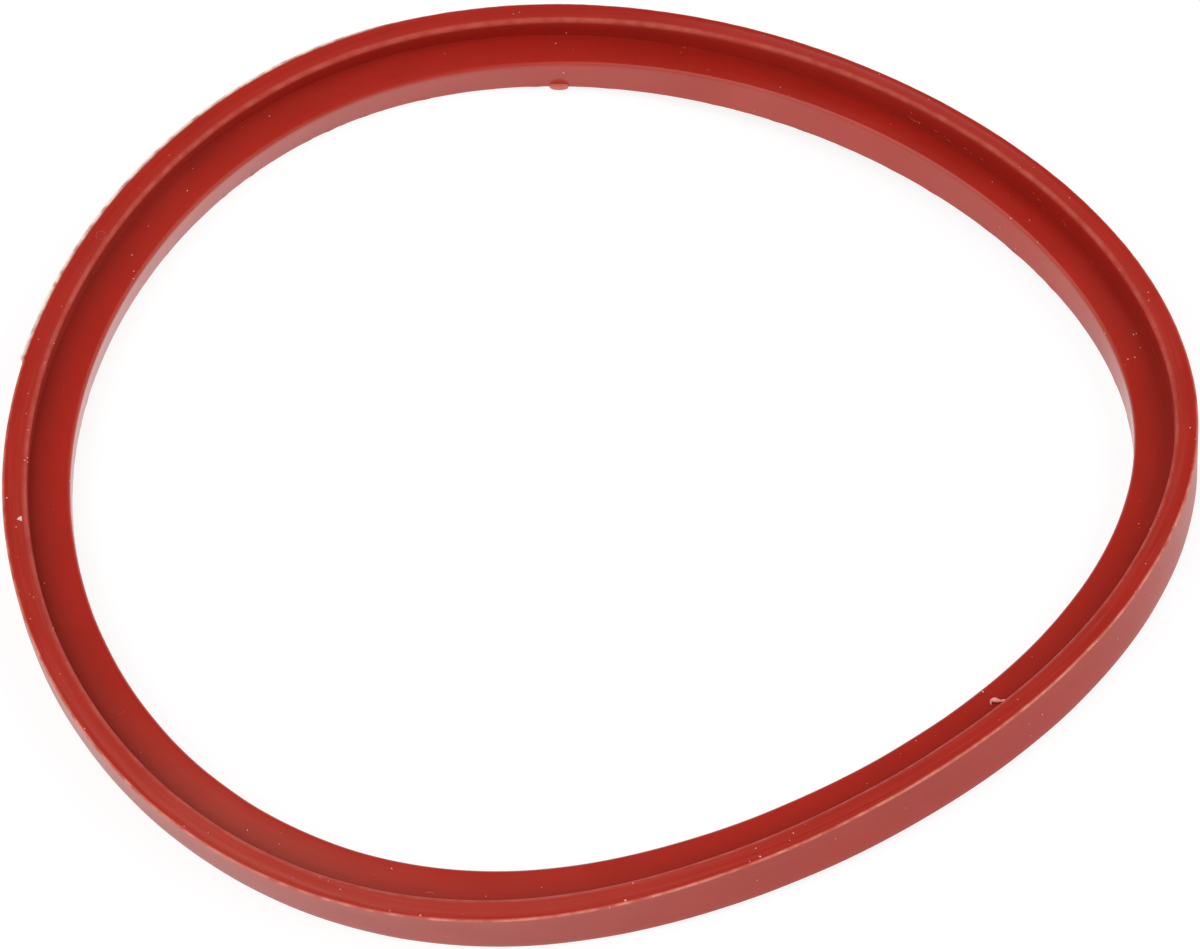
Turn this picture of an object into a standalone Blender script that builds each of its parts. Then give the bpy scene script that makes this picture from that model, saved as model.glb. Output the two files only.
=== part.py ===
"""Boiler gasket: one moulded ring of red silicone rubber, for Blender 4.5.

The ring is egg shaped in plan, with its nose along +X. Its section is a step: a rim stands along the
outside, and a lower ledge runs round inside it. It lies on its flat underside, with the origin under
the middle of its box. Everything is in metres, with +Z up.
"""
import math

import bmesh
import bpy
from mathutils import Matrix, Vector

# The outline of the outer face, seen from above
RING_LENGTH = 0.0940
RING_WIDTH = 0.0836
# How far behind the middle of the length the widest place lies
WIDEST_SETBACK = 0.0068
# How full each quarter is where it leaves the nose, the widest place and the back; 0.55 would be an ellipse
NOSE_FULLNESS = 0.52
FRONT_FULLNESS = 0.46
REAR_FULLNESS = 0.62
BACK_FULLNESS = 0.48

# The section, measured inwards from the outer face and upwards from the underside
SECTION_WIDTH = 0.0050
RING_HEIGHT = 0.0049
RIM_THICKNESS = 0.00185
LEDGE_HEIGHT = 0.0030

# The roundings that the mould leaves
RIM_INNER_RADIUS = 0.00045
RIM_OUTER_RADIUS = 0.00025
LEDGE_EDGE_RADIUS = 0.00025
ROOT_FILLET = 0.00025
UNDERSIDE_RADIUS = 0.00015

# The flat stub that the mould's gate leaves on the inner face, just above the underside
GATE_WIDTH = 0.00150
GATE_REACH = 0.00045
GATE_THICKNESS = 0.00035
GATE_LIFT = 0.00020
GATE_ANGLE = math.radians(92)

# How finely the round stretches are cut
STEPS_PER_QUARTER = 28
STEPS_PER_CORNER = 3
GATE_STEPS = 32

COLLECTION_NAME = "boiler_gasket"
RING_NAME = "gasket_ring"


def clear_scene():
    """Remove every object that the scene holds."""
    for item in list(bpy.data.objects):
        bpy.data.objects.remove(item, do_unlink=True)


def make_collection(name):
    collection = bpy.data.collections.new(name)
    bpy.context.scene.collection.children.link(collection)
    return collection


def silicone_material():
    material = bpy.data.materials.new("red_silicone")
    material.use_nodes = True
    shader = material.node_tree.nodes["Principled BSDF"]
    shader.inputs["Base Color"].default_value = (0.36, 0.016, 0.010, 1.0)
    shader.inputs["Roughness"].default_value = 0.38
    shader.inputs["Metallic"].default_value = 0.0
    material.diffuse_color = (0.36, 0.016, 0.010, 1.0)
    return material


def outline_curve(collection):
    """The outer face's outline as a closed Bezier curve of four points, from the nose anticlockwise."""
    half_length = RING_LENGTH / 2
    half_width = RING_WIDTH / 2
    nose = Vector((half_length, 0, 0))
    back = Vector((-half_length, 0, 0))
    nose_handle = Vector((0, NOSE_FULLNESS * half_width, 0))
    back_handle = Vector((0, BACK_FULLNESS * half_width, 0))
    front_handle = Vector((FRONT_FULLNESS * (half_length + WIDEST_SETBACK), 0, 0))
    rear_handle = Vector((REAR_FULLNESS * (half_length - WIDEST_SETBACK), 0, 0))
    left = Vector((-WIDEST_SETBACK, half_width, 0))
    right = Vector((-WIDEST_SETBACK, -half_width, 0))

    curve = bpy.data.curves.new("outline", "CURVE")
    curve.dimensions = "3D"
    curve.twist_mode = "Z_UP"
    curve.resolution_u = STEPS_PER_QUARTER
    spline = curve.splines.new("BEZIER")
    spline.bezier_points.add(3)
    stations = [
        (nose, -nose_handle, nose_handle),
        (left, front_handle, -rear_handle),
        (back, back_handle, -back_handle),
        (right, -rear_handle, front_handle),
    ]
    for point, (place, before, after) in zip(spline.bezier_points, stations):
        point.co = place
        point.handle_left_type = point.handle_right_type = "FREE"
        point.handle_left = place + before
        point.handle_right = place + after
    spline.use_cyclic_u = True
    outline = bpy.data.objects.new("outline", curve)
    collection.objects.link(outline)
    return outline


def rounded_corner(before, corner, after, radius):
    """Points of the arc that rounds one corner of the section, whichever way it turns."""
    towards_before = (before - corner).normalized()
    towards_after = (after - corner).normalized()
    half_angle = towards_before.angle(towards_after) / 2
    tangent_length = radius / math.tan(half_angle)
    centre = corner + (towards_before + towards_after).normalized() * (radius / math.sin(half_angle))
    start = (corner + towards_before * tangent_length - centre).normalized()
    end = (corner + towards_after * tangent_length - centre).normalized()
    points = []
    for step in range(STEPS_PER_CORNER + 1):
        points.append(centre + start.slerp(end, step / STEPS_PER_CORNER) * radius)
    return points


def section_curve(collection):
    """The stepped section as a closed flat curve, at minus X because the sweep turns X outwards."""
    corners = [
        (0, 0, UNDERSIDE_RADIUS),
        (SECTION_WIDTH, 0, UNDERSIDE_RADIUS),
        (SECTION_WIDTH, LEDGE_HEIGHT, LEDGE_EDGE_RADIUS),
        (RIM_THICKNESS, LEDGE_HEIGHT, ROOT_FILLET),
        (RIM_THICKNESS, RING_HEIGHT, RIM_INNER_RADIUS),
        (0, RING_HEIGHT, RIM_OUTER_RADIUS),
    ]
    points = []
    for index, (x, y, radius) in enumerate(corners):
        before = Vector(corners[index - 1][:2])
        after = Vector(corners[(index + 1) % len(corners)][:2])
        points += rounded_corner(before, Vector((x, y)), after, radius)

    curve = bpy.data.curves.new("section", "CURVE")
    curve.dimensions = "2D"
    curve.fill_mode = "NONE"
    spline = curve.splines.new("POLY")
    spline.points.add(len(points) - 1)
    for target, place in zip(spline.points, points):
        target.co = (-place.x, place.y, 0, 1)
    spline.use_cyclic_u = True
    section = bpy.data.objects.new("section", curve)
    section.hide_render = True
    section.display_type = "WIRE"
    collection.objects.link(section)
    return section


def ring_from_curves(outline, section, collection, material):
    """Sweep the section along the outline, and keep the result as a closed mesh."""
    outline.data.bevel_mode = "OBJECT"
    outline.data.bevel_object = section
    bpy.context.view_layer.update()
    evaluated = outline.evaluated_get(bpy.context.evaluated_depsgraph_get())
    mesh = bpy.data.meshes.new_from_object(evaluated)
    mesh.name = RING_NAME
    ring = bpy.data.objects.new(RING_NAME, mesh)
    ring.matrix_world = outline.matrix_world.copy()
    collection.objects.link(ring)
    for guide in (outline, section):
        bpy.data.objects.remove(guide, do_unlink=True)

    sweep = bmesh.new()
    sweep.from_mesh(mesh)
    bmesh.ops.remove_doubles(sweep, verts=sweep.verts, dist=UNDERSIDE_RADIUS / 100)
    bmesh.ops.recalc_face_normals(sweep, faces=sweep.faces)
    sweep.to_mesh(mesh)
    sweep.free()
    mesh.materials.clear()
    mesh.materials.append(material)
    return ring


def gate_stub(ring, collection):
    """The gate's flat round stub, sunk in the inner face that lies at the gate's angle."""
    direction = Vector((math.cos(GATE_ANGLE), math.sin(GATE_ANGLE), 0))
    height = GATE_LIFT + GATE_THICKNESS / 2
    hit, face_place, face_normal, _ = ring.ray_cast(Vector((0, 0, height)), direction)
    if not hit:
        raise RuntimeError("the gate stub finds no inner face")
    radius = GATE_WIDTH / 2
    inwards = Vector((face_normal.x, face_normal.y, 0)).normalized()
    centre = face_place + inwards * (GATE_REACH - radius)

    stub = bmesh.new()
    bmesh.ops.create_cone(
        stub, cap_ends=True, segments=GATE_STEPS, radius1=radius, radius2=radius,
        depth=GATE_THICKNESS, matrix=Matrix.Translation((centre.x, centre.y, height)))
    mesh = bpy.data.meshes.new("gate_stub")
    stub.to_mesh(mesh)
    stub.free()
    cutter = bpy.data.objects.new("gate_stub", mesh)
    cutter.hide_render = True
    cutter.display_type = "WIRE"
    collection.objects.link(cutter)
    return cutter


def join_to_ring(ring, stub):
    union = ring.modifiers.new("gate", "BOOLEAN")
    union.operation = "UNION"
    union.solver = "EXACT"
    union.object = stub


def main():
    clear_scene()
    parts = make_collection(COLLECTION_NAME)
    guides = make_collection("guides")
    outline = outline_curve(guides)
    section = section_curve(guides)
    ring = ring_from_curves(outline, section, parts, silicone_material())
    ring.data.shade_smooth()
    ring.data.set_sharp_from_angle(angle=math.radians(40))
    join_to_ring(ring, gate_stub(ring, guides))


main()
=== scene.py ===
import math
import random

import bmesh
import bpy
from bpy.props import FloatProperty, FloatVectorProperty, IntProperty, PointerProperty
from mathutils import Matrix, Vector, noise


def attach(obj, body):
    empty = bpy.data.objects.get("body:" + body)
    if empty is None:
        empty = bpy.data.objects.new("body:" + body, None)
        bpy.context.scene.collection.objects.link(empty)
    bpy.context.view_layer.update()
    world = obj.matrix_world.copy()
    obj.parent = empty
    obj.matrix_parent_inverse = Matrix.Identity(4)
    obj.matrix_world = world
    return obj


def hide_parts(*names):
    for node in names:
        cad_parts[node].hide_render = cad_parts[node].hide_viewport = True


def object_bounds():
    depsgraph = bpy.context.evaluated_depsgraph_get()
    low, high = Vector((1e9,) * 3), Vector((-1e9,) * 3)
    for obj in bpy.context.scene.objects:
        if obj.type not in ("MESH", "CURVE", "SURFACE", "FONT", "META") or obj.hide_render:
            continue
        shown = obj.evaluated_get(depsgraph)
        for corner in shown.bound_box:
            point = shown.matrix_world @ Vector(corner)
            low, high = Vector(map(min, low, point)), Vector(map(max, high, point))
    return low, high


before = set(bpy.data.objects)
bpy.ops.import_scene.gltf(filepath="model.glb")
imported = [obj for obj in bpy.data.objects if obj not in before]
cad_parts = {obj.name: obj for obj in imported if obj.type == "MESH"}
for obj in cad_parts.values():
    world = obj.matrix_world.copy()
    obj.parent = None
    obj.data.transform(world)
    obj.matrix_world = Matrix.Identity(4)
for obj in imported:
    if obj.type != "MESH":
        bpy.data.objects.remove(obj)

bl_info = {
    "name": "Boiler gasket",
    "version": (1, 0, 0),
    "blender": (4, 5, 0),
    "location": "3D View > Sidebar > Gasket",
    "description": "A red silicone boiler gasket as it lies on a studio table, with its mould marks and dust",
    "category": "Object",
}

# The box of the solid ring, before anything is dressed
SOLID_LOW, SOLID_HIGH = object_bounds()
SOLID_SIZE = SOLID_HIGH - SOLID_LOW

MM = 0.001
QUARTER_TURN = math.pi / 2
SECTION_ATTRIBUTE = "section_place"
FIN_ATTRIBUTE = "fin_share"
BODY = "root"
SOLID_NODE = "gasket_ring"
WHITE = (1.0, 1.0, 1.0, 1.0)


# Short ways to state the properties below

def number(name, description, default, **more):
    return FloatProperty(name=name, description=description, default=default, **more)


def metres(name, description, default, precision=5, **more):
    return number(name, description, default, unit="LENGTH", precision=precision, **more)


def fraction(name, description, default, **more):
    return number(name, description, default, subtype="FACTOR", max=1, **more)


def rotation(name, description, degrees):
    return number(name, description, math.radians(degrees), unit="ROTATION")


def numbers(name, description, default, **more):
    return FloatVectorProperty(
        name=name, description=description, default=default, size=len(default), **more)


def rotations(name, description, degrees):
    return numbers(name, description, [math.radians(part) for part in degrees], unit="ROTATION")


def tint(name, description, default):
    return numbers(name, description, default, subtype="COLOR", min=0, max=1)


# The sizes and colours that a user would change

class GasketShape(bpy.types.PropertyGroup):
    """The ring as it comes out of the mould."""
    length: metres("Length", "From the nose of the egg to its back", SOLID_SIZE.x, min=0.02)
    width: metres("Width", "Across the widest place", SOLID_SIZE.y, min=0.02)
    widest_setback: metres(
        "Widest setback", "How far behind the middle of the length the widest place lies", 0.0068)
    nose_fullness: fraction("Nose fullness", "How broad the outline is at the nose", 0.52, min=0.1)
    front_fullness: fraction(
        "Front fullness", "How straight the front quarters leave the widest place", 0.46, min=0.1)
    rear_fullness: fraction(
        "Rear fullness", "How straight the rear quarters leave the widest place", 0.62, min=0.1)
    back_fullness: fraction("Back fullness", "How broad the outline is at the back", 0.48, min=0.1)
    section_width: metres("Section width", "From the outer face to the inner face", 0.0050, min=0.001)
    height: metres("Height", "From the underside to the top of the rim", SOLID_SIZE.z, min=0.001)
    rim_thickness: metres("Rim thickness", "Of the wall that stands along the outside", 0.00185, min=0.0005)
    ledge_height: metres("Ledge height", "From the underside to the step inside the rim", 0.0030, min=0.0005)
    rim_inner_radius: metres("Rim inner radius", "Rounding of the rim's inner edge", 0.00042)
    rim_outer_radius: metres("Rim outer radius", "Rounding of the rim's outer edge", 0.00022)
    ledge_edge_radius: metres("Ledge edge radius", "Rounding of the ledge's inner edge", 0.00034)
    root_fillet: metres("Root fillet", "Rounding where the rim stands on the ledge", 0.000012, precision=6)
    underside_radius: metres("Underside radius", "Rounding of the two lower edges", 0.00015)
    steps_round: IntProperty(
        name="Steps round", description="How many steps the section is swept in", default=1480, min=64,
        max=1500)
    corner_steps: IntProperty(
        name="Corner steps", description="How many steps each rounding has", default=5, min=2, max=8)


class GasketLie(bpy.types.PropertyGroup):
    """How the soft ring lies: each wave has an amount, and a direction in which it peaks."""
    lean_amounts: rotations(
        "Lean", "How far the rim's top leans outwards, in one to four waves round the ring",
        (5.6, 11.2, 1.4, 1.2))
    lean_peaks: rotations("Lean peaks", "Where each wave of the lean peaks", (85, 51, 44, 43))
    sway_amounts: numbers(
        "Sway", "How far the outline bulges, in two to four waves round the ring",
        (0.32 * MM, 0.28 * MM, 0.08 * MM), unit="LENGTH", precision=5)
    sway_peaks: rotations("Sway peaks", "Where each wave of the sway peaks", (18, -28, 0))
    swell: fraction("Swell", "By what share the section is wider where that peaks", 0.04)
    swell_peak: rotation("Swell peak", "Where the section is widest", 190)


class MouldMarks(bpy.types.PropertyGroup):
    """What the mould leaves on the rubber."""
    lip_height: metres("Lip height", "Of the fine lip along the rim's outer edge", 0.00005)
    lip_reach: metres("Lip reach", "How far that lip stands outwards", 0.00005)
    lip_width: metres("Lip width", "Of that lip", 0.00017)
    fin_reach: metres("Fin reach", "How much further the lip stands out where it wasn't trimmed", 0.00027)
    dip_depth: metres("Dip depth", "Of the shallow dip beside the lip", 0.00003)
    dip_width: metres("Dip width", "Of that dip", 0.00024)
    waviness: metres("Waviness", "How far the soft faces wander", 0.00002)
    flash_reach: metres("Flash reach", "Of the torn flash along the lower inner edge", 0.00007)
    stub_width: metres("Stub width", "Of the gate's stub on the inner face", 0.0018)
    stub_reach: metres("Stub reach", "How far the stub stands out", 0.00043)
    stub_thickness: metres("Stub thickness", "Of that stub", 0.00030)
    stub_lift: metres("Stub lift", "How far the stub lies above the underside", 0.00009)
    stub_turn: rotation("Stub place", "Where the stub lies round the ring, from the nose", 83)
    pocket_depth: metres(
        "Pocket depth", "Of the shallow pocket torn in the inner face above the stub", 0.00006)


class GasketColours(bpy.types.PropertyGroup):
    """The colours of the rubber and of what lies on it."""
    rubber: tint("Rubber", "The red of the silicone", (0.425, 0.0115, 0.0052))
    # Besides thin edges, this red paints the highlights on the lip and along the rim's inner edge
    lip: tint("Lip", "The paler red of thin edges", (0.82, 0.27, 0.21))
    # The fin's near-white is painted light shining through the thin rubber
    fin: tint("Fin", "The thin untrimmed fin, which lets light through", (1.0, 0.86, 0.74))
    film: tint("Film", "The thin dusty film on the inner face", (0.95, 0.42, 0.35))
    dust: tint("Dust", "The dust specks", (1.0, 0.52, 0.46))
    chip: tint("Chip", "The torn chip on the rim", (1.0, 0.66, 0.62))
    lint: tint("Lint", "The shred of lint", (1.0, 0.43, 0.36))
    roughness: fraction(
        "Roughness", "Of the smooth faces; the inner half of the rim's top is rougher", 0.33, min=0)
    bloom: fraction("Bloom", "How much that film pales the inner face", 0.10, min=0)


class StudioSetup(bpy.types.PropertyGroup):
    """The table, the room, the softboxes and the camera."""
    floor: tint("Floor", "The white table", (0.93, 0.93, 0.93))
    room: number("Room light", "Strength of the even light all round", 0.21, min=0)
    near_backdrop: number("Near backdrop", "Light added low down, on the camera's side", 0.92, min=0)
    far_backdrop: number("Far backdrop", "Light added low down, behind the ring", 0.75, min=0)
    left_power: number("Left power", "Of the large softbox overhead on the left", 11.4, min=0, unit="POWER")
    left_size: numbers("Left size", "Of that softbox", (1.55, 1.30), unit="LENGTH")
    left_place: numbers("Left place", "Its middle", (-0.825, -0.35, 1.0), subtype="XYZ", unit="LENGTH")
    right_power: number("Right power", "Of the softbox on the right", 5.6, min=0, unit="POWER")
    right_size: numbers("Right size", "Of that softbox", (0.9, 1.0), unit="LENGTH")
    right_place: numbers("Right place", "Its middle", (0.85, 0.0, 0.85), subtype="XYZ", unit="LENGTH")
    right_tilt: rotation("Right tilt", "How far it is turned down from level to the ring", 45)
    camera_elevation: rotation("Camera elevation", "How steeply the camera looks down", 59.7)
    camera_turn: rotation(
        "Camera turn", "How far the camera stands round the ring, clockwise from above", 3.31)
    camera_distance: metres("Camera distance", "From the table where it looks", 0.3379, min=0.05)
    camera_lens: number("Lens", "Focal length in millimetres", 127.4, min=10)
    camera_aim: numbers(
        "Aim", "Where on the table the camera looks, before its turn", (-0.00021, -0.00095),
        unit="LENGTH", precision=5)


# How places on the ring become places on the table

def waves(amounts, peaks, first, heading):
    """The sum of cosine waves, of which the first goes round as many times as first says."""
    total = 0.0
    for index, (amount, peak) in enumerate(zip(amounts, peaks)):
        total += amount * math.cos((first + index) * (heading - peak))
    return total


class RingPath:
    """The egg, with the lean and the sway with which the ring lies."""

    # Keeps the ring from kinking where its lean changes sides
    SOFT_TURN = 0.03
    # How quickly the swell dies away, half of it at about 25 degrees from its peak
    SWELL_FALL = 7.5

    def __init__(self, shape, lie):
        half_length = shape.length / 2
        half_width = shape.width / 2
        nose = Vector((half_length, 0))
        side = Vector((-shape.widest_setback, half_width))
        back = Vector((-half_length, 0))
        nose_reach = Vector((0, shape.nose_fullness * half_width))
        back_reach = Vector((0, shape.back_fullness * half_width))
        front_reach = Vector((shape.front_fullness * (half_length + shape.widest_setback), 0))
        rear_reach = Vector((shape.rear_fullness * (half_length - shape.widest_setback), 0))
        self.front = (nose, nose + nose_reach, side + front_reach, side)
        self.rear = (side, side - rear_reach, back + back_reach, back)
        self.middle = shape.section_width / 2
        self.lie = lie
        self.stations = {}

    def outer(self, turn):
        """The outer face in plan and its outward direction, a quarter turn for each quarter of the egg."""
        turn = turn % math.tau
        mirrored = turn > math.pi
        if mirrored:
            turn = math.tau - turn
        stretch = self.front
        share = turn / QUARTER_TURN
        if share > 1:
            stretch = self.rear
            share -= 1
        while len(stretch) > 2:
            stretch = [here.lerp(there, share) for here, there in zip(stretch, stretch[1:])]
        start, end = stretch
        travel = (end - start).normalized()
        place = start.lerp(end, share)
        outward = Vector((travel.y, -travel.x))
        if mirrored:
            place.y = -place.y
            outward.y = -outward.y
        return place, outward

    def station(self, turn):
        """The swayed outer face, its outward direction, the lean and the swell at one turn, kept."""
        key = round(turn, 6)
        if key not in self.stations:
            edge, outward = self.outer(turn)
            heading = math.atan2(edge.y, edge.x)
            lean = waves(self.lie.lean_amounts, self.lie.lean_peaks, 1, heading)
            sway = waves(self.lie.sway_amounts, self.lie.sway_peaks, 2, heading)
            from_peak = 1 - math.cos(heading - self.lie.swell_peak)
            swell = 1 + self.lie.swell * math.exp(-self.SWELL_FALL * from_peak)
            self.stations[key] = (edge + outward * sway, outward, math.sin(lean), math.cos(lean), swell)
        return self.stations[key]

    def place(self, turn, inwards, height):
        """A point that lies so far inwards of the outer face and so far above the underside."""
        edge, outward, lean_sine, lean_cosine, swell = self.station(turn)
        from_middle = inwards * swell - self.middle
        inset = self.middle + from_middle * lean_cosine - height * lean_sine
        plan = edge - outward * inset
        lift = math.hypot(lean_sine, self.SOFT_TURN) * self.middle
        lift += height * lean_cosine + from_middle * lean_sine
        return Vector((plan.x, plan.y, lift))

    def turn_per_metre(self, turn):
        """How much of a turn a metre along the outer face takes."""
        step = 0.002
        before = self.outer(turn - step)[0]
        after = self.outer(turn + step)[0]
        return 2 * step / (after - before).length


def ripple(turn, count, seed):
    """A smooth wandering number, from about -1 to 1, with about so many bumps round the ring."""
    reach = count / math.tau
    return noise.noise(Vector((math.cos(turn) * reach, math.sin(turn) * reach, seed)))


def hill(distance, width):
    """1 at no distance, falling softly to nothing at about twice the width."""
    return math.exp(-(distance / width) ** 2)


# Meshes and objects

def add_object(name, data):
    item = bpy.data.objects.new(name, data)
    bpy.context.scene.collection.objects.link(item)
    return item


def finished_object(mesh, name, material):
    """A smooth shaded object at the origin that rides with the ring."""
    data = bpy.data.meshes.new(name)
    mesh.to_mesh(data)
    mesh.free()
    data.shade_smooth()
    data.materials.append(material)
    piece = add_object(name, data)
    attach(piece, BODY)
    return piece


# How far apart the section is cut on its top, its inner face, its hidden underside and elsewhere
TOP_SPACING = 0.11 * MM
INNER_SPACING = 0.28 * MM
UNDERSIDE_SPACING = 2.5 * MM
OTHER_SPACING = 0.75 * MM
SAME_PLACE = 0.01 * MM


def section_outline(shape, hub):
    """The stepped section as a closed loop of edges, standing at a distance of hub from the axis."""
    corners = [
        (0, 0, shape.underside_radius),
        (shape.section_width, 0, shape.underside_radius),
        (shape.section_width, shape.ledge_height, shape.ledge_edge_radius),
        (shape.rim_thickness, shape.ledge_height, shape.root_fillet),
        (shape.rim_thickness, shape.height, shape.rim_inner_radius),
        (0, shape.height, shape.rim_outer_radius),
    ]
    mesh = bmesh.new()
    points = [mesh.verts.new((hub - inwards, 0, height)) for inwards, height, _ in corners]
    mesh.faces.new(points)
    for point, (_, _, radius) in zip(points, corners):
        bmesh.ops.bevel(
            mesh, geom=[point], offset=radius, offset_type="OFFSET", segments=shape.corner_steps,
            profile=0.5, affect="VERTICES", material=-1)
    for edge in list(mesh.edges):
        spacing = OTHER_SPACING
        if min(point.co.z for point in edge.verts) > shape.height - SAME_PLACE:
            spacing = TOP_SPACING
        elif max(point.co.z for point in edge.verts) < SAME_PLACE:
            spacing = UNDERSIDE_SPACING
        elif max(point.co.x for point in edge.verts) < hub - shape.section_width + SAME_PLACE:
            spacing = INNER_SPACING
        cuts = int(edge.calc_length() / spacing)
        if cuts:
            bmesh.ops.subdivide_edges(mesh, edges=[edge], cuts=cuts)
    bmesh.ops.delete(mesh, geom=list(mesh.faces), context="FACES_ONLY")
    return mesh


# The stretch in which the lip was left untrimmed, how soon it grows and breaks off, and its last burr
FIN_START = math.radians(97)
FIN_END = math.radians(166)
FIN_GROWTH = math.radians(12)
FIN_BREAK = math.radians(0.6)
BURR_TURN = math.radians(0.35)
BURR_SHARE = 1.6
# How fully the fin takes its pale colour, painted light shining through the thin rubber, where 1 leaves it
# patchy
FIN_PALENESS = 1.7

# The pocket's half width round the ring, how high its middle lies, and how far it reaches up and in
POCKET_TURN = math.radians(0.9)
POCKET_HEIGHT = 0.62 * MM
POCKET_RISE = 0.22 * MM
POCKET_REACH = 0.3 * MM

# How far the dip reaches below the rim's top, and the flash from the lower inner edge
DIP_REACH = 0.08 * MM
FLASH_WIDTH = 0.14 * MM


def fin_share(turn):
    """How much of the fin stands at a turn: it grows slowly, and breaks off at its end."""
    grown = (turn - FIN_START) / FIN_GROWTH
    left = (FIN_END - turn) / FIN_BREAK
    burr = BURR_SHARE * hill(turn - FIN_END, BURR_TURN)
    return max(0.0, min(1.0, grown, left)) + burr


def worn_section(shape, marks, turn, inwards, height):
    """Where a point of the clean section lies on the real one, with its lip, dip, flash and waviness."""
    near_edge = hill(math.hypot(inwards, height - shape.height), marks.lip_width)
    lip = near_edge * (0.85 + 0.25 * ripple(turn, 120, 1) + 0.3 * ripple(turn, 420, 2))
    dip_middle = (2.9 + 0.5 * ripple(turn, 150, 6)) * marks.lip_width
    dip = hill(height - shape.height, DIP_REACH) * hill(inwards - dip_middle, marks.dip_width)
    flash = hill(math.hypot(inwards - shape.section_width, height), FLASH_WIDTH)
    flash *= max(0.0, ripple(turn, 230, 3) + 0.35 * ripple(turn, 620, 4))
    wander = marks.waviness * ripple(turn, 60, 5 + 400 * (inwards + height))
    outwards = lip * marks.lip_reach + near_edge * marks.fin_reach * fin_share(turn)
    pocket = hill(turn - marks.stub_turn, POCKET_TURN) * hill(height - POCKET_HEIGHT, POCKET_RISE)
    pocket *= hill(inwards - shape.section_width, POCKET_REACH)
    outwards += pocket * marks.pocket_depth
    new_inwards = inwards + flash * marks.flash_reach + wander - outwards
    new_height = height + lip * marks.lip_height - dip * marks.dip_depth + wander
    return new_inwards, new_height


def add_thread(mesh, places, radii):
    """A round thread through places in space, with its radius at each of them and a closed end."""
    sides = 7
    heading = (places[1] - places[0]).normalized()
    turned = Vector((0, 0, 1)).rotation_difference(heading).to_matrix().to_4x4()
    start = bmesh.ops.create_circle(
        mesh, cap_ends=True, segments=sides, radius=radii[0], matrix=Matrix.Translation(places[0]) @ turned)
    end = start["verts"][0].link_faces[0]
    ring_edges = list(end.edges)
    for index in range(1, len(places)):
        travel = places[index] - places[index - 1]
        onward = places[min(index + 1, len(places) - 1)] - places[index - 1]
        bend = heading.rotation_difference(onward.normalized()).to_matrix()
        heading = onward.normalized()
        end = bmesh.ops.extrude_discrete_faces(mesh, faces=[end])["faces"][0]
        growth = radii[index] / radii[index - 1]
        for point in end.verts:
            point.co = places[index - 1] + bend @ (point.co - places[index - 1]) * growth + travel
    bmesh.ops.holes_fill(mesh, edges=ring_edges, sides=sides)


# Materials

class Nodes:
    """A node tree, and short ways to fill it. An input takes a value, another node's output, or
    another node, whose first output in use then feeds it."""

    def __init__(self, tree):
        self.tree = tree

    def add(self, kind, place, **settings):
        """A node at a place of the editor. A setting that starts with in_ feeds that input."""
        if not kind.startswith("Node"):
            kind = "ShaderNode" + kind
        node = self.tree.nodes.new(kind)
        node.location = place
        for name, value in settings.items():
            if not name.startswith("in_"):
                setattr(node, name, value)
                continue
            label = name[3:]
            socket = node.inputs[int(label) if label.isdigit() else label.replace("_", " ")]
            if isinstance(value, bpy.types.Node):
                value = next(output for output in value.outputs if output.enabled)
            if isinstance(value, bpy.types.NodeSocket):
                self.tree.links.new(value, socket)
            else:
                socket.default_value = value
        return node

    def math(self, place, operation, *values, **settings):
        inputs = {"in_%d" % index: value for index, value in enumerate(values)}
        return self.add("Math", place, operation=operation, **settings, **inputs)

    def scaled(self, place, vector, factor):
        return self.add("VectorMath", place, operation="SCALE", in_0=vector, in_Scale=factor)

    def distance(self, place, vector, point):
        return self.add("VectorMath", place, operation="DISTANCE", in_0=vector, in_1=point)

    def spread(self, place, value, start, end, low=0.0, high=1.0, kind="LINEAR"):
        """Low where the value is at start, high where it is at end, and a slope between them."""
        return self.add(
            "MapRange", place, interpolation_type=kind, in_Value=value, in_From_Min=start,
            in_From_Max=end, in_To_Min=low, in_To_Max=high)

    def noise(self, place, vector, scale, detail=2.0, roughness=0.5):
        return self.add(
            "TexNoise", place, in_Vector=vector, in_Scale=scale, in_Detail=detail,
            in_Roughness=roughness)

    def mix(self, place, factor, first, second):
        return self.add(
            "Mix", place, data_type="RGBA", in_Factor=factor, in_A=first, in_B=second)

    def attribute(self, place, name):
        return self.add("Attribute", place, attribute_type="GEOMETRY", attribute_name=name).outputs

    def object_place(self, place):
        return self.add("TexCoord", place).outputs["Object"]

    def parts(self, place, vector):
        return self.add("SeparateXYZ", place, in_Vector=vector).outputs

    def bump(self, place, height):
        """A bump whose height is in metres."""
        return self.add("Bump", place, in_Strength=1.0, in_Distance=1.0, in_Height=height)


def new_material(name):
    """A material without nodes, and the means to fill it."""
    material = bpy.data.materials.new(name)
    material.use_nodes = True
    material.node_tree.nodes.clear()
    return material, Nodes(material.node_tree)


def opaque(colour):
    return (*colour, 1.0)


def between(first, second, share):
    """The colour that lies so far on the way from the first to the second."""
    return [part * (1 - share) + other * share for part, other in zip(first, second)]


# Relief of the rubber's skin and of fluff, in metres
LINE_RELIEF = 0.000007
GRAIN_RELIEF = 0.0000015
FLUFF_RELIEF = 0.00003


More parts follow.
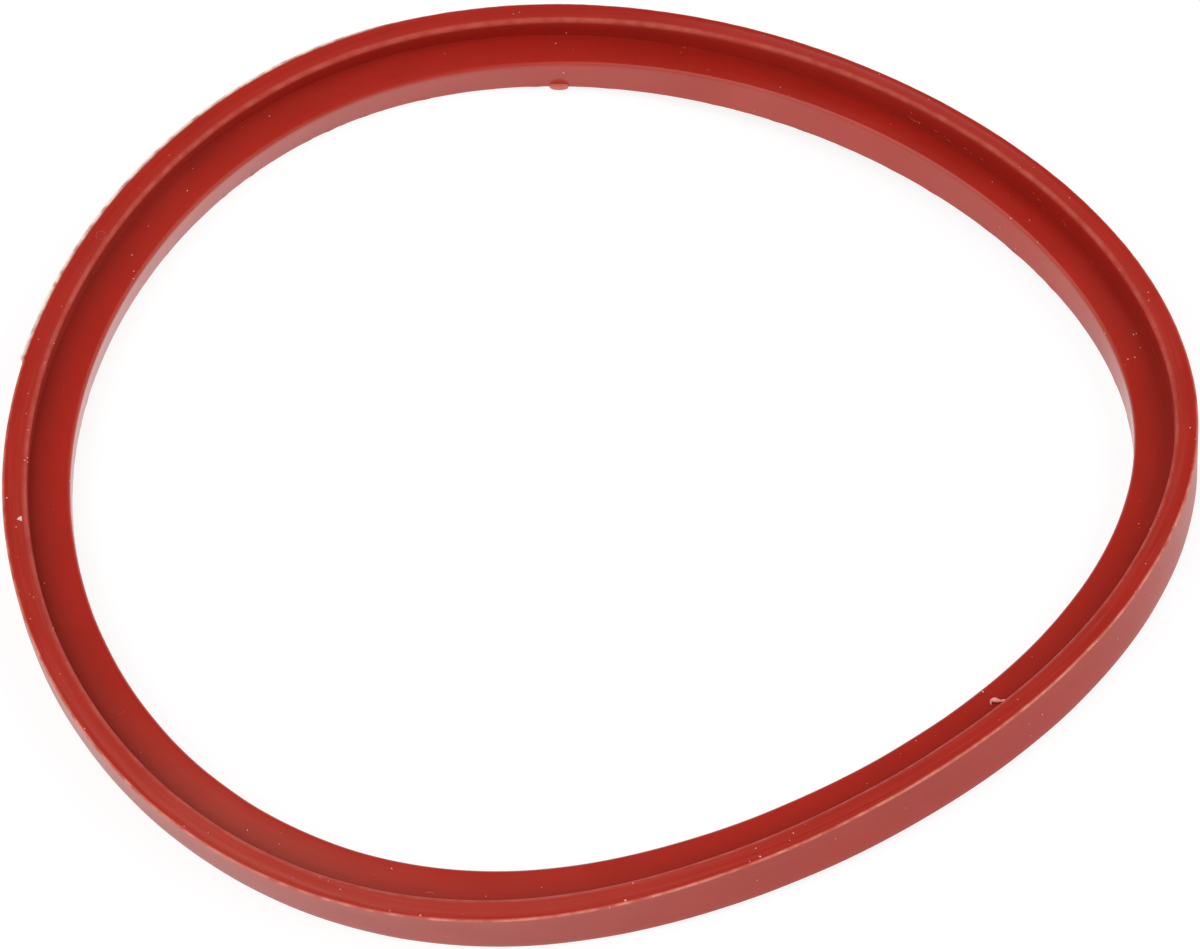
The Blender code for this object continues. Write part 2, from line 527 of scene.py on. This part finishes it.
def rubber_skin_group():
    """The shared skin of moulded silicone: mottled colour, fine dust, grain and flow lines."""
    name = "rubber_skin"
    if name in bpy.data.node_groups:
        return bpy.data.node_groups[name]
    tree = bpy.data.node_groups.new(name, "ShaderNodeTree")
    sockets = {
        "INPUT": {"Rubber": "Color", "Bloom": "Color", "Section": "Vector", "Flow Amount": "Float",
                  "Bloom Amount": "Float", "Roughness": "Float"},
        "OUTPUT": {"Color": "Color", "Roughness": "Float", "Height": "Float"},
    }
    for direction, kinds in sockets.items():
        for label, kind in kinds.items():
            tree.interface.new_socket(label, in_out=direction, socket_type="NodeSocket" + kind)
    nodes = Nodes(tree)
    given = nodes.add("NodeGroupInput", (-1300, 0)).outputs
    place = nodes.object_place((-1300, -300))

    mottle = nodes.noise((-700, 300), place, 170.0, detail=3.0)
    smudge = nodes.noise((-700, 100), place, 75.0, detail=4.0, roughness=0.6)
    grain = nodes.noise((-700, -100), place, 7000.0)
    # Flow lines keep to one place of the section, and change slowly along the ring
    slow = nodes.scaled((-1000, -500), place, 0.03)
    lines_place = nodes.add(
        "VectorMath", (-800, -400), operation="ADD", in_0=given["Section"], in_1=slow)
    lines = nodes.noise((-600, -400), lines_place, 5200.0)
    motes = nodes.add("TexVoronoi", (-700, -800), in_Vector=place, in_Scale=1100.0).outputs
    mote_shape = nodes.spread((-400, -800), motes["Distance"], 0.04, 0.09, 1.0, 0.0)
    chance = nodes.add("SeparateColor", (-550, -1000), in_Color=motes["Color"]).outputs
    mote_choice = nodes.spread((-400, -1000), chance["Red"], 0.90, 0.94)
    mote_mask = nodes.math((-200, -850), "MULTIPLY", mote_shape, mote_choice)

    # The colour: a darker and a lighter shade of the rubber, then dust in patches, lines and motes
    shade = nodes.spread((-450, 300), mottle, 0.3, 0.7, 0.94, 1.05)
    tinted = nodes.scaled((-200, 300), given["Rubber"], shade)
    patches = nodes.spread((-450, 100), smudge, 0.30, 0.75, 0.6, 1.0, "SMOOTHSTEP")
    streak = nodes.spread((-350, -400), lines, 0.40, 0.75, 0.0, 0.04, "SMOOTHSTEP")
    streaks = nodes.math((-150, -400), "MULTIPLY", streak, given["Flow Amount"])
    haze = nodes.math((100, -300), "MULTIPLY_ADD", patches, given["Bloom Amount"], streaks)
    mote_strength = nodes.math((0, -800), "MULTIPLY", mote_mask, 0.5)
    cover = nodes.math((300, -400), "MAXIMUM", haze, mote_strength)
    blend = nodes.mix((500, 200), cover, tinted, given["Bloom"])

    # The roughness wanders with the smudges, and rises where dust lies
    rough_shift = nodes.spread((-200, 0), smudge, 0.3, 0.7, -0.03, 0.03)
    flow_rough = nodes.math((-200, -100), "MULTIPLY", given["Flow Amount"], 0.03)
    uneven = nodes.math((0, 0), "ADD", rough_shift, flow_rough)
    rough = nodes.math((200, 0), "ADD", given["Roughness"], uneven)
    dulled = nodes.math((500, 0), "MULTIPLY_ADD", cover, 0.3, rough, use_clamp=True)

    # The height: flow lines and fine grain
    line_height = nodes.math((100, -600), "MULTIPLY", lines, LINE_RELIEF)
    line_relief = nodes.math((300, -600), "MULTIPLY", line_height, given["Flow Amount"])
    grain_height = nodes.math((300, -700), "MULTIPLY", grain, GRAIN_RELIEF)
    height = nodes.math((500, -600), "ADD", line_relief, grain_height)
    nodes.add("NodeGroupOutput", (900, 0), in_Color=blend, in_Roughness=dulled, in_Height=height)
    return tree


# What is left of the rubber's colour on the wall of the step, where shade is painted in
PAINTED_STEP_SHADE = 0.785
# Where a painted haze of reflected light lies on the near stretch, a little left of the middle
PAINTED_HAZE_MIDDLE = (-18 * MM, -38 * MM, 4 * MM)
# The inner face, with the rounding of its upper edge
INNER_ZONE = 0.2 * MM


def rubber_material(name, colours, colour, bloom_amount, roughness):
    """Red silicone with the shared skin, a dusty inner face, painted shade on the step, a painted haze near
    one spot, a paler red with a painted highlight along the rim's outer edge, a painted highlight along its
    inner edge, and painted light through the fin.
    """
    shape = bpy.context.scene.gasket_shape
    width, height, rim = shape.section_width, shape.height, shape.rim_thickness
    material, nodes = new_material(name)
    section = nodes.attribute((-1200, 0), SECTION_ATTRIBUTE)["Vector"]
    inwards = nodes.parts((-1000, -150), section)
    place = nodes.object_place((-1050, -650))

    # The paler lip, with its painted highlight, and the flow lines are strongest on the near side, towards
    # lower Y
    across = nodes.parts((-850, -1900), place)
    nearer = nodes.spread((-650, -1900), across["Y"], -15 * MM, 20 * MM, 1.0, 0.35)
    # The mould left its flow lines on top of the rim, and hardly any elsewhere
    flow = nodes.spread((-850, -150), inwards["Y"], height - 0.5 * MM, height - 0.1 * MM, 0.2, 1.0)
    near_flow = nodes.math((-750, -250), "MULTIPLY", flow, nearer)

    # Dust lies on the inner face, and a painted haze of reflected light near one spot; dusty carries both
    bloom = nodes.spread(
        (-850, 150), inwards["X"], width - INNER_ZONE, width, bloom_amount * 0.1, bloom_amount)
    spot = nodes.distance((-1250, 550), place, PAINTED_HAZE_MIDDLE)
    painted_haze = nodes.spread((-1050, 550), spot, 8 * MM, 32 * MM, bloom_amount * 0.3, 0.0, "SMOOTHSTEP")
    dusty = nodes.math((-650, 250), "ADD", bloom, painted_haze)
    # The inner face came off a polished core
    polished = nodes.spread((-850, 350), inwards["X"], width - INNER_ZONE, width, 0.0, 0.6)

    # Painted shade: the rubber's colour is darkest on the wall of the step, and gets lighter across the ledge
    # and at the rim's top
    past_wall = nodes.math((-1450, -900), "SUBTRACT", inwards["X"], rim)
    from_wall = nodes.math((-1250, -900), "ABSOLUTE", past_wall)
    across_step = nodes.spread((-1050, -900), from_wall, 0.0, 2.6 * MM, PAINTED_STEP_SHADE, 1.0)
    up_wall = nodes.spread(
        (-1050, -1150), inwards["Y"], height - 0.55 * MM, height - 0.1 * MM, PAINTED_STEP_SHADE, 1.0)
    shaded = nodes.math((-850, -1000), "MAXIMUM", across_step, up_wall)
    step_shaded_rubber = nodes.scaled((-650, -900), colour[:], shaded)
    # The inner half of the rim's top is duller, and its inner edge paler with a painted highlight
    inner_half = nodes.distance((-1250, -1400), section, (rim - 0.3 * MM, height, 0.0))
    dull = nodes.spread(
        (-1050, -1400), inner_half, 0.3 * MM, 0.85 * MM, roughness + 0.18, roughness, "SMOOTHSTEP")
    edge = nodes.distance((-1250, -1650), section, (rim, height, 0.0))
    edge_highlight = nodes.spread((-1050, -1650), edge, 0.15 * MM, 0.48 * MM, 0.24, 0.0, "SMOOTHSTEP")
    skin = nodes.add(
        "Group", (-650, 0), node_tree=rubber_skin_group(), in_Rubber=step_shaded_rubber,
        in_Bloom=opaque(colours.film), in_Section=section, in_Flow_Amount=near_flow,
        in_Bloom_Amount=dusty, in_Roughness=dull).outputs

    # The lip is paler in patches, partly paler thin rubber and partly a painted highlight, and the fin, which
    # was never trimmed, all along, with painted light shining through it
    corner = nodes.distance((-850, -400), section, (0.0, height, 0.0))
    near_lip = nodes.spread((-650, -400), corner, 0.09 * MM, 0.22 * MM, 1.0, 0.0)
    fin = nodes.attribute((-850, -2150), FIN_ATTRIBUTE)["Fac"]
    shown = nodes.math((-450, -1900), "MAXIMUM", nearer, fin)
    reach = nodes.math((-550, -500), "MULTIPLY", near_lip, shown)
    lip_and_edge_highlight = nodes.math((-450, -600), "MAXIMUM", reach, edge_highlight)
    patchy = nodes.noise((-850, -650), place, 900.0)
    strength = nodes.spread((-650, -650), patchy, 0.35, 0.65, 0.35, 1.0)
    lip_and_highlight_mask = nodes.math((-450, -450), "MULTIPLY", lip_and_edge_highlight, strength)
    fin_glow_here = nodes.math((-650, -2150), "MULTIPLY", fin, near_lip)
    lip_and_fin_glow = nodes.mix((-450, 200), fin_glow_here, opaque(colours.lip), opaque(colours.fin))
    paler = nodes.mix((-250, 0), lip_and_highlight_mask, skin["Color"], lip_and_fin_glow)

    shader = nodes.add(
        "BsdfPrincipled", (0, 0), in_Base_Color=paler, in_Roughness=skin["Roughness"],
        in_Normal=nodes.bump((-250, -300), skin["Height"]), in_IOR=1.41,
        in_Specular_Tint=(1.0, 0.95, 0.72, 1.0), in_Coat_Weight=polished, in_Coat_Roughness=0.2,
        in_Coat_IOR=1.5, in_Sheen_Weight=0.11, in_Sheen_Roughness=0.25,
        in_Sheen_Tint=(1.0, 0.72, 0.54, 1.0))
    nodes.add("OutputMaterial", (300, 0), in_Surface=shader)
    return material


def fluff_material(name, colour):
    """Pale matt dust or lint, a little uneven."""
    material, nodes = new_material(name)
    uneven = nodes.noise((-600, 0), nodes.object_place((-800, 0)), 5000.0)
    shade = nodes.spread((-400, 0), uneven, 0.0, 1.0, 0.75, 1.15)
    tinted = nodes.scaled((-200, 0), colour[:], shade)
    height = nodes.math((-400, -300), "MULTIPLY", uneven, FLUFF_RELIEF)
    shader = nodes.add(
        "BsdfPrincipled", (0, 0), in_Base_Color=tinted, in_Roughness=0.8,
        in_Normal=nodes.bump((-200, -300), height))
    nodes.add("OutputMaterial", (300, 0), in_Surface=shader)
    return material


# The pieces

def ring_settings(context):
    """The shape, the marks, the colours, and the path that the ring follows."""
    scene = context.scene
    path = RingPath(scene.gasket_shape, scene.gasket_lie)
    return scene.gasket_shape, scene.mould_marks, scene.gasket_colours, path


class GASKET_OT_ring(bpy.types.Operator):
    """Make the silicone ring as it lies, with the mould's lip and flash"""
    bl_idname = "gasket.ring"
    bl_label = "Silicone ring"

    def execute(self, context):
        shape, marks, colours, path = ring_settings(context)
        hub = shape.length / 2
        mesh = section_outline(shape, hub)
        bmesh.ops.spin(
            mesh, geom=list(mesh.verts) + list(mesh.edges), cent=(0, 0, 0), axis=(0, 0, 1),
            dvec=(0, 0, 0), angle=math.tau, steps=shape.steps_round, use_merge=True)
        bmesh.ops.recalc_face_normals(mesh, faces=mesh.faces)
        fin = mesh.verts.layers.float.new(FIN_ATTRIBUTE)
        section_place = mesh.verts.layers.float_vector.new(SECTION_ATTRIBUTE)
        for vertex in mesh.verts:
            turn = math.atan2(vertex.co.y, vertex.co.x) % math.tau
            vertex[fin] = FIN_PALENESS * min(1.0, fin_share(turn))
            inwards = hub - math.hypot(vertex.co.x, vertex.co.y)
            height = vertex.co.z
            vertex[section_place] = (inwards, height, 0)
            vertex.co = path.place(turn, *worn_section(shape, marks, turn, inwards, height))
        material = rubber_material("red_silicone", colours, colours.rubber, colours.bloom, colours.roughness)
        ring = finished_object(mesh, "moulded_ring", material)
        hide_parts(SOLID_NODE)
        return {"FINISHED"}


class GASKET_OT_gate_stub(bpy.types.Operator):
    """Make the stub that the mould's gate leaves on the inner face"""
    bl_idname = "gasket.gate_stub"
    bl_label = "Gate stub"

    # How wide its top is against its foot, and how ragged its outline
    TAPER = 0.94
    RAGGED = 0.06
    RAGGED_SCALE = 2500
    # What share of the way to the paler red of thin edges torn rubber is, and what else sets it apart
    TORN_SHARE = 0.25
    TORN_BLOOM = 0.35
    TORN_ROUGHNESS = 0.08

    @staticmethod
    def squarish(part):
        """A cosine or sine, pushed outwards so that its circle becomes a rounded square."""
        return math.copysign(abs(part) ** 0.75, part)

    def execute(self, context):
        shape, marks, colours, path = ring_settings(context)
        radius = marks.stub_width / 2
        mesh = bmesh.new()
        bmesh.ops.create_cone(
            mesh, cap_ends=True, segments=40, radius1=radius, radius2=radius * self.TAPER,
            depth=marks.stub_thickness)
        rims = [edge for edge in mesh.edges if abs(edge.verts[0].co.z - edge.verts[1].co.z) < 1e-6]
        bmesh.ops.bevel(
            mesh, geom=rims, offset=marks.stub_thickness * 0.3, offset_type="OFFSET", segments=3,
            profile=0.5, affect="EDGES", material=-1)
        bmesh.ops.recalc_face_normals(mesh, faces=mesh.faces)
        section_place = mesh.verts.layers.float_vector.new(SECTION_ATTRIBUTE)
        rate = path.turn_per_metre(marks.stub_turn)
        for vertex in mesh.verts:
            angle = math.atan2(vertex.co.y, vertex.co.x)
            uneven = 1 + self.RAGGED * noise.noise(vertex.co * self.RAGGED_SCALE)
            share = vertex.co.xy.length / radius * uneven
            # A squarish bow, whose middle lies in the inner face
            along = radius * share * self.squarish(math.cos(angle))
            inwards = shape.section_width + marks.stub_reach * share * self.squarish(math.sin(angle))
            height = marks.stub_lift + marks.stub_thickness / 2 + vertex.co.z
            vertex[section_place] = (inwards, height, 0)
            vertex.co = path.place(marks.stub_turn + along * rate, inwards, height)
        torn = between(colours.rubber, colours.lip, self.TORN_SHARE)
        material = rubber_material(
            "torn_silicone", colours, torn, self.TORN_BLOOM, colours.roughness + self.TORN_ROUGHNESS)
        finished_object(mesh, "gate_stub", material)
        return {"FINISHED"}


class GASKET_OT_dust(bpy.types.Operator):
    """Scatter dust specks over the faces of the ring"""
    bl_idname = "gasket.dust"
    bl_label = "Dust specks"

    SEED = 7
    # How far the random specks keep from the edges of their faces on top, and on the sides
    TOP_MARGIN = 0.0003
    SIDE_MARGIN = 0.0004
    # Specks that stand out: degrees round from the nose, millimetres inwards, millimetres up, size
    NOTABLE = (
        (180, 0.10, 4.9, 0.12), (134, 3.55, 3.0, 0.15), (146, 3.55, 3.0, 0.15),
        (148, 4.45, 3.0, 0.14), (149, 4.75, 3.0, 0.12), (237, 3.05, 3.0, 0.15), (254, 4.25, 3.0, 0.20),
        (258.5, 0.25, 4.9, 0.20), (255.5, 0.3, 4.9, 0.12), (290, 1.15, 4.9, 0.17), (290, 0.35, 4.9, 0.17),
        (289, 0.3, 4.9, 0.12), (293.6, 1.10, 4.9, 0.15), (293, 0.65, 4.9, 0.14), (297, 0.0, 3.5, 0.16),
        (319.5, 0.0, 2.6, 0.16), (317.5, 4.65, 3.0, 0.18), (309, 4.5, 3.0, 0.13), (9, 4.20, 3.0, 0.18),
        (9, 3.6, 3.0, 0.13), (12, 2.90, 3.0, 0.15), (12, 2.65, 3.0, 0.11), (14, 1.20, 4.9, 0.16),
        (82.5, 5.0, 1.85, 0.18), (82.5, 1.85, 3.3, 0.10), (83.5, 2.75, 3.0, 0.12), (276, -0.05, 4.9, 0.15),
        (280, 0.0, 4.9, 0.14), (277.5, 0.25, 4.9, 0.19), (278.5, 1.50, 4.9, 0.14), (289.5, 0.0, 2.4, 0.15),
        (179.5, 1.80, 4.72, 0.15), (180.1, 1.84, 4.68, 0.16), (180.0, 1.62, 4.86, 0.15),
        (181.5, 4.95, 3.0, 0.14), (185, 0.35, 4.9, 0.14), (175.7, 1.65, 4.86, 0.10),
        (356.5, 0.65, 4.9, 0.15), (355, 0.20, 4.9, 0.11), (338, 0.70, 4.9, 0.10), (343.5, -0.03, 4.95, 0.17),
        (343.2, 0.12, 4.95, 0.10), (327.5, -0.03, 4.95, 0.17), (327.2, 0.0, 4.8, 0.10),
        (342.5, 1.80, 4.7, 0.08), (344.5, 2.05, 3.1, 0.08), (336.5, 0.0, 2.5, 0.13), (330.5, 0.0, 2.5, 0.13),
        (158, 1.25, 4.9, 0.11), (163, 1.82, 4.65, 0.10), (166, 1.70, 4.85, 0.11), (173.5, 1.30, 4.9, 0.12),
        (189, 0.90, 4.9, 0.12), (198, 0.95, 4.9, 0.10), (201, 0.45, 4.9, 0.12), (203, 1.82, 4.65, 0.11),
        (216, 0.25, 4.9, 0.17), (232, 0.30, 4.9, 0.12), (234.5, 0.95, 4.9, 0.11), (248.5, 1.45, 4.9, 0.11),
        (247.5, 1.55, 4.88, 0.09), (250, 1.10, 4.9, 0.11), (240.5, 4.10, 3.0, 0.08), (241, 3.25, 3.0, 0.10),
        (47.4, 1.87, 3.85, 0.08), (46.3, 1.90, 3.33, 0.07), (47.5, 1.90, 3.38, 0.06), (19, 1.78, 4.75, 0.10),
        (15, 0.85, 4.9, 0.11), (34, 0.80, 4.9, 0.10), (32, 4.92, 2.9, 0.14), (13.5, 5.0, 2.9, 0.12),
    )
    # A flat torn chip of rubber: degrees round, millimetres inwards, millimetres up, size, corner
    CHIP = (188, 1.25, 4.93, 0.52, 185)
    CHIP_THICKNESS = 0.12 * MM
    # Its middle radius, and how far its three corners stand out of that, as shares of a round one's
    CHIP_MIDDLE = 0.78
    CHIP_CORNERS = 0.26

    def execute(self, context):
        shape, _, colours, path = ring_settings(context)
        chance = random.Random(self.SEED)
        spots = [(math.radians(degrees), inwards * MM, height * MM, size * MM)
                 for degrees, inwards, height, size in self.NOTABLE]
        # Each face: lowest and highest inwards, lowest and highest height, how many specks
        rim, width, ledge = shape.rim_thickness, shape.section_width, shape.ledge_height
        top, side = self.TOP_MARGIN, self.SIDE_MARGIN
        faces = (
            (0.0002, rim - top, shape.height, shape.height, 28),
            (rim + top, width - top, ledge, ledge, 24),
            (0.0, 0.0, side, shape.height - side, 34),
            (width, width, side, ledge - side, 8),
        )
        for low_in, high_in, low_up, high_up, count in faces:
            for _ in range(count):
                turn = chance.uniform(0, math.tau)
                inwards = chance.uniform(low_in, high_in)
                height = chance.uniform(low_up, high_up)
                size = (0.05 + 0.07 * chance.random() ** 2) * MM
                spots.append((turn, inwards, height, size))

        mesh = bmesh.new()
        for turn, inwards, height, size in spots:
            centre = path.place(turn, inwards, height)
            squeeze = Vector((chance.uniform(0.6, 1.3), chance.uniform(0.5, 1.0), chance.uniform(0.5, 0.9)))
            spin = Matrix.Rotation(chance.uniform(0, math.tau), 4, "Z")
            form = Matrix.Translation(centre) @ spin @ Matrix.Diagonal(squeeze * (size / 2)).to_4x4()
            bmesh.ops.create_icosphere(mesh, subdivisions=1, radius=1.0, matrix=form)
        finished_object(mesh, "dust_specks", fluff_material("pale_dust", colours.dust))

        mesh = bmesh.new()
        degrees, inwards, height, size, corner = self.CHIP
        centre = path.place(math.radians(degrees), inwards * MM, height * MM)
        spin = Matrix.Rotation(math.radians(corner), 4, "Z")
        bmesh.ops.create_cone(
            mesh, cap_ends=True, segments=12, radius1=size * MM / 2, radius2=size * MM * 0.4,
            depth=self.CHIP_THICKNESS)
        for vertex in mesh.verts:
            angle = math.atan2(vertex.co.y, vertex.co.x)
            vertex.co.xy *= self.CHIP_MIDDLE + self.CHIP_CORNERS * math.cos(3 * angle)
            vertex.co = centre + spin @ vertex.co
        finished_object(mesh, "torn_chip", fluff_material("pale_chip", colours.chip))
        return {"FINISHED"}


class GASKET_OT_shreds(bpy.types.Operator):
    """Lay the shred of lint on the ledge, and the faint nibs and curls of rubber on the rim"""
    bl_idname = "gasket.shreds"
    bl_label = "Shreds and nibs"

    # Each thread: its middle in degrees, then at each point millimetres along, inwards and up, and radius
    SHRED_DEGREES = 317.7
    SHRED = (
        (-0.66, 3.20, 3.04, 0.045), (-0.62, 3.32, 3.06, 0.055), (-0.54, 3.42, 3.10, 0.07),
        (-0.43, 3.44, 3.16, 0.12), (-0.31, 3.36, 3.20, 0.18), (-0.17, 3.22, 3.20, 0.19),
        (-0.04, 3.05, 3.17, 0.14), (0.07, 2.93, 3.14, 0.10), (0.18, 2.83, 3.14, 0.12),
        (0.29, 2.76, 3.14, 0.11), (0.41, 2.61, 3.10, 0.06), (0.55, 2.47, 3.05, 0.03),
    )
    # How far the shred's surface strays, how finely, and the seed of that noise
    STRAY = 0.05 * MM
    STRAY_SCALE = 6000
    STRAY_SEED = 7
    # Faint curls: degrees, millimetres inwards and up, radius of the curl, where it starts and ends
    CURLS = (
        (147, 1.05, 4.9, 0.42, 20, 360), (141, 1.35, 4.87, 0.25, 100, 200),
        (257.5, 0.95, 4.9, 0.45, 110, 250), (259, 1.62, 4.85, 0.60, 60, 120),
        (214.8, 3.30, 3.0, 0.60, -28, 28),
    )
    CURL_RADIUS = 0.028 * MM
    CURL_STEPS = 12
    # How wide a curl is across the rim against along it
    CURL_SQUEEZE = 0.9
    # Faint nibs at the foot of the rim's wall: degrees, millimetres up, half length in degrees, how far
    # the ends lie above the middle, thickest radius
    NIBS = (
        (46.9, 3.26, 0.70, 0.13, 0.036), (44.5, 3.35, 0.28, -0.02, 0.026), (43.4, 3.33, 0.12, 0.0, 0.024),
        (42.9, 3.16, 0.30, -0.03, 0.024), (41.0, 3.30, 0.26, 0.02, 0.026), (40.3, 3.22, 0.16, 0.0, 0.024),
        (39.0, 3.30, 0.30, -0.02, 0.022), (32.4, 3.62, 0.14, 0.0, 0.026), (31.6, 3.40, 0.24, 0.10, 0.028),
        (28.0, 3.45, 0.12, 0.0, 0.024), (27.6, 3.22, 0.24, 0.08, 0.026),
    )
    # The radius of a nib at each of its points, as a share of its thickest
    NIB_TAPER = (0.35, 0.85, 1.0, 0.85, 0.35)
    # What share of the way to the paler red of thin edges these marks are, and their bloom
    PALE_SHARE = 0.3
    PALE_BLOOM = 0.1

    def execute(self, context):
        shape, _, colours, path = ring_settings(context)

        mesh = bmesh.new()
        middle = math.radians(self.SHRED_DEGREES)
        rate = path.turn_per_metre(middle) * MM
        places = [path.place(middle + along * rate, inwards * MM, height * MM)
                  for along, inwards, height, _ in self.SHRED]
        add_thread(mesh, places, [radius * MM for _, _, _, radius in self.SHRED])
        noise.seed_set(self.STRAY_SEED)
        for vertex in mesh.verts:
            vertex.co += noise.noise_vector(vertex.co * self.STRAY_SCALE) * self.STRAY
        bmesh.ops.recalc_face_normals(mesh, faces=mesh.faces)
        finished_object(mesh, "lint_shred", fluff_material("pink_lint", colours.lint))

        mesh = bmesh.new()
        for degrees, inwards, height, reach, first, last in self.CURLS:
            middle = math.radians(degrees)
            rate = path.turn_per_metre(middle) * MM
            places = []
            for step in range(self.CURL_STEPS + 1):
                angle = math.radians(first + (last - first) * step / self.CURL_STEPS)
                along = reach * math.cos(angle)
                across = inwards + reach * self.CURL_SQUEEZE * math.sin(angle)
                places.append(path.place(middle + along * rate, across * MM, height * MM))
            add_thread(mesh, places, [self.CURL_RADIUS] * len(places))
        for degrees, height, half_length, sag, radius in self.NIBS:
            places = []
            for step in range(len(self.NIB_TAPER)):
                share = step / 2 - 1
                turn = math.radians(degrees + half_length * share)
                places.append(path.place(turn, shape.rim_thickness, (height + sag * share ** 2) * MM))
            add_thread(mesh, places, [radius * share * MM for share in self.NIB_TAPER])
        # The nibs and curls take the skin of a place on the ledge a millimetre from the rim's wall, with the
        # painted shade of the step there
        section_place = mesh.verts.layers.float_vector.new(SECTION_ATTRIBUTE)
        for vertex in mesh.verts:
            vertex[section_place] = (shape.rim_thickness + MM, shape.ledge_height, 0)
        bmesh.ops.recalc_face_normals(mesh, faces=mesh.faces)
        pale = between(colours.rubber, colours.lip, self.PALE_SHARE)
        material = rubber_material("pale_silicone", colours, pale, self.PALE_BLOOM, colours.roughness)
        finished_object(mesh, "rubber_nibs", material)
        return {"FINISHED"}


class GASKET_OT_stage(bpy.types.Operator):
    """Set up the white table, the room's light, two softboxes and the camera"""
    bl_idname = "gasket.stage"
    bl_label = "Studio"

    # Half the table's side, in metres
    TABLE_REACH = 3.0
    # To the camera and in reflections the table glows white, over a grey that still takes the shadow
    TABLE_GLOW = 0.84
    TABLE_GREY = (0.22, 0.22, 0.22, 1.0)
    SENSOR_WIDTH_MM = 36.0

    def execute(self, context):
        studio = context.scene.studio_setup
        self.table(studio)
        self.room(studio)
        self.softbox("left_softbox", studio.left_power, studio.left_size, studio.left_place, 0.0)
        self.softbox(
            "right_softbox", studio.right_power, studio.right_size, studio.right_place, studio.right_tilt)
        self.camera(studio)
        context.scene.view_settings.view_transform = "Standard"
        return {"FINISHED"}

    def table(self, studio):
        mesh = bmesh.new()
        bmesh.ops.create_grid(mesh, x_segments=1, y_segments=1, size=self.TABLE_REACH)
        data = bpy.data.meshes.new("table_top")
        mesh.to_mesh(data)
        mesh.free()
        floor = add_object("table_top", data)

        material, nodes = new_material("white_table")
        plain = nodes.add("BsdfDiffuse", (0, 0), in_Color=opaque(studio.floor))
        seen = nodes.add("BsdfDiffuse", (0, -150), in_Color=self.TABLE_GREY)
        glow = nodes.add("Emission", (0, -300), in_Strength=self.TABLE_GLOW)
        lit = nodes.add("AddShader", (200, -200), in_0=seen, in_1=glow)
        rays = nodes.add("LightPath", (-400, 200)).outputs
        mirrored = nodes.math(
            (-200, 200), "MAXIMUM", rays["Is Glossy Ray"], rays["Is Transmission Ray"])
        looked = nodes.math((0, 200), "MAXIMUM", rays["Is Camera Ray"], mirrored)
        choice = nodes.add("MixShader", (400, 0), in_Fac=looked, in_1=plain, in_2=lit)
        nodes.add("OutputMaterial", (600, 0), in_Surface=choice)
        data.materials.append(material)

    def room(self, studio):
        """A dim room with a white backdrop low down."""
        world = bpy.data.worlds.new("studio_room")
        world.use_nodes = True
        world.node_tree.nodes.clear()
        nodes = Nodes(world.node_tree)
        where = nodes.add("TexCoord", (-1000, 0)).outputs
        direction = nodes.parts((-800, 0), where["Generated"])
        low = nodes.spread((-600, 0), direction["Z"], 0.1, 0.5, 1.0, 0.0, "SMOOTHSTEP")
        side = nodes.spread(
            (-600, -300), direction["Y"], -1.0, 1.0, studio.near_backdrop, studio.far_backdrop)
        backdrop = nodes.math((-400, 0), "MULTIPLY", low, side)
        level = nodes.math((-200, 0), "ADD", backdrop, studio.room)
        soft = nodes.add("Background", (0, 0), in_Color=WHITE, in_Strength=level)
        plain = nodes.add("Background", (0, -150), in_Color=WHITE, in_Strength=1.0)
        rays = nodes.add("LightPath", (0, 300)).outputs
        choice = nodes.add(
            "MixShader", (200, 0), in_Fac=rays["Is Camera Ray"], in_1=soft, in_2=plain)
        nodes.add("OutputWorld", (400, 0), in_Surface=choice)
        bpy.context.scene.world = world

    def softbox(self, name, power, size, place, tilt):
        """A rectangular lamp that looks down, or is turned about Y by its tilt."""
        data = bpy.data.lights.new(name, "AREA")
        data.shape = "RECTANGLE"
        data.size, data.size_y = size
        data.energy = power
        lamp = add_object(name, data)
        lamp.location = place
        lamp.rotation_euler.y = tilt

    def camera(self, studio):
        data = bpy.data.cameras.new("camera")
        data.sensor_width = self.SENSOR_WIDTH_MM
        data.lens = studio.camera_lens
        data.clip_start = 0.01
        data.clip_end = 20.0
        camera = add_object("camera", data)
        turned = Matrix.Rotation(-studio.camera_turn, 4, "Z")
        aim = Matrix.Translation((*studio.camera_aim, 0))
        tilt = Matrix.Rotation(QUARTER_TURN - studio.camera_elevation, 4, "X")
        back = Matrix.Translation((0, 0, studio.camera_distance))
        camera.matrix_world = turned @ aim @ tilt @ back
        bpy.context.scene.camera = camera


GROUPS = {
    "gasket_shape": GasketShape,
    "gasket_lie": GasketLie,
    "mould_marks": MouldMarks,
    "gasket_colours": GasketColours,
    "studio_setup": StudioSetup,
}
PIECES = (GASKET_OT_stage, GASKET_OT_ring, GASKET_OT_gate_stub, GASKET_OT_dust, GASKET_OT_shreds)


class GASKET_PT_panel(bpy.types.Panel):
    """The gasket's tab in the sidebar"""
    bl_idname = "GASKET_PT_panel"
    bl_label = "Boiler gasket"
    bl_space_type = "VIEW_3D"
    bl_region_type = "UI"
    bl_category = "Gasket"

    def draw(self, context):
        for name, kind in GROUPS.items():
            box = self.layout.box()
            for setting in kind.__annotations__:
                box.prop(getattr(context.scene, name), setting)
        for operator in PIECES:
            self.layout.operator(operator.bl_idname)


CLASSES = tuple(GROUPS.values()) + PIECES + (GASKET_PT_panel,)


def register():
    for item in CLASSES:
        bpy.utils.register_class(item)
    for name, group in GROUPS.items():
        setattr(bpy.types.Scene, name, PointerProperty(type=group))


def unregister():
    for name in GROUPS:
        delattr(bpy.types.Scene, name)
    for item in reversed(CLASSES):
        bpy.utils.unregister_class(item)


def main():
    register()
    bpy.ops.gasket.stage()
    bpy.ops.gasket.ring()
    bpy.ops.gasket.gate_stub()
    bpy.ops.gasket.dust()
    bpy.ops.gasket.shreds()


if __name__ == "__main__":
    main()
